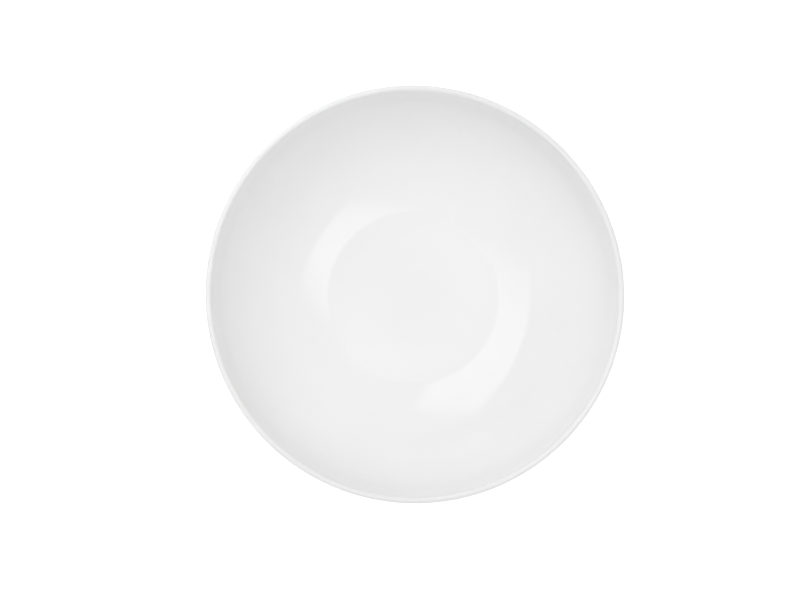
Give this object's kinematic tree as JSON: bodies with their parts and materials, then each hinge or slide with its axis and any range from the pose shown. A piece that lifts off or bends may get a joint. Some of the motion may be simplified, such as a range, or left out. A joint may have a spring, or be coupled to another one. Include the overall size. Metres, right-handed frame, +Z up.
{
  "type": "bowl",
  "caption": "Round white porcelain serving bowl with a flat well, a curved wall rising to a thin rounded lip, and a foot ring left bare of glaze where it stands.",
  "frame": {"origin": "on the axis of the bowl, on the surface that its foot ring stands on", "axes": "+Z up along the axis, out of the mouth of the bowl; the bowl is round, so +X and +Y are alike"},
  "size_m": [0.2, 0.2, 0.072],
  "materials": {
    "bare_porcelain": "matte",
    "white_glaze": "gloss"
  },
  "bodies": {
    "root": {"porcelain_body": "bare_porcelain", "glaze_coat": "white_glaze", "underside_glaze": "white_glaze"}
  },
  "joints": []
}
